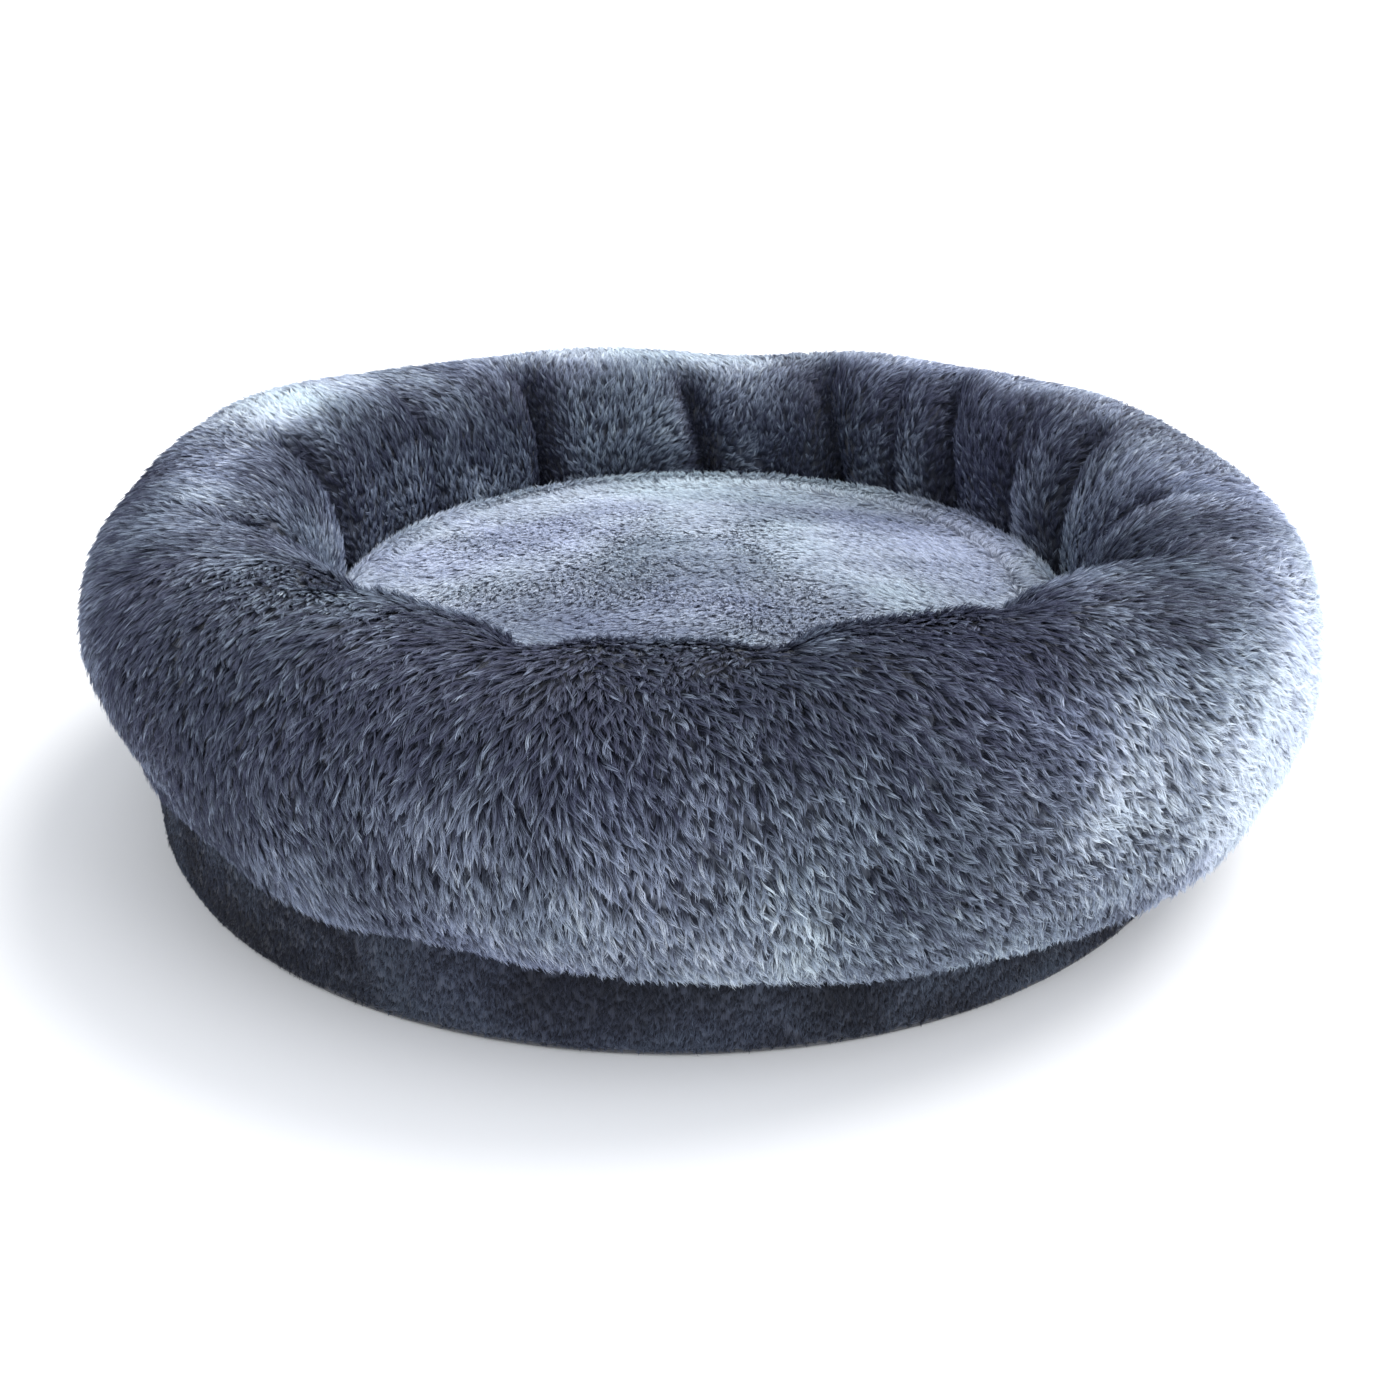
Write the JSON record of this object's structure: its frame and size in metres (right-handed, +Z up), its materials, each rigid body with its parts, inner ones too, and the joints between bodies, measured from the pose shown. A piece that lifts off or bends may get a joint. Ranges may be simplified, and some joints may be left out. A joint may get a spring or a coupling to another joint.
{
  "type": "pet cushion bed",
  "caption": "Round plush pet bed: stuffed bolster ring on a padded base, with a loose cushion in its nest.",
  "frame": {"origin": "centre of the bed's underside, on the floor", "axes": "+Z up out of the nest, +Y towards the back, where the zip is, +X to the right"},
  "size_m": [0.6, 0.6, 0.154],
  "materials": {
    "plush": "brushed long-pile plush",
    "short_pile": "short brushed pile",
    "dotted_cloth": "woven cloth with printed grip dots",
    "lining_cloth": "plain woven cloth",
    "foam": "open-cell pad",
    "fibre_fill": "loose polyester fibre",
    "bag_cloth": "thin non-woven",
    "woven_tape": "woven tape",
    "zip_tape": "woven tape",
    "thread": "polyester thread",
    "satin_label": "satin, blank",
    "nylon": "satin nylon",
    "zip_metal": "dark plated"
  },
  "bodies": {
    "bed": {"base_bottom_cloth": "dotted_cloth", "base_skirt": "short_pile", "base_pad": "foam", "base_top_cloth": "lining_cloth", "bolster_outer_panel": "plush", "bolster_inner_panel": "plush", "bolster_fibre": "fibre_fill", "gathering_tape": "woven_tape", "undercut_seam_thread": "thread", "base_seam_thread": "thread", "care_label": "satin_label", "zip_tape_upper": "zip_tape", "zip_tape_lower": "zip_tape", "zip_coils": "nylon", "zip_stops": "zip_metal"},
    "cushion": {"cushion_top_panel": "plush", "cushion_bottom_panel": "lining_cloth", "cushion_edge_roll": "plush", "cushion_inner_bag": "bag_cloth", "cushion_fibre": "fibre_fill"},
    "zip_slider": {"zip_slider": "zip_metal"},
    "zip_pull": {"zip_pull": "zip_metal"}
  },
  "joints": [
    {"name": "cushion_lift", "type": "slide", "parent": "bed", "child": "cushion", "axis": [0, 0, 1], "range_m": [0, 0.2]},
    {"name": "zip_slide", "type": "hinge", "parent": "bed", "child": "zip_slider", "pos_m": [0, 0, 0.02], "axis": [0, 0, -1], "range_deg": [0, 68]},
    {"name": "zip_pull_swing", "type": "hinge", "parent": "zip_slider", "child": "zip_pull", "pos_m": [-0.15277, 0.22649, 0.0215], "axis": [0.829, 0.5592, 0], "range_deg": [0, 90]}
  ]
}
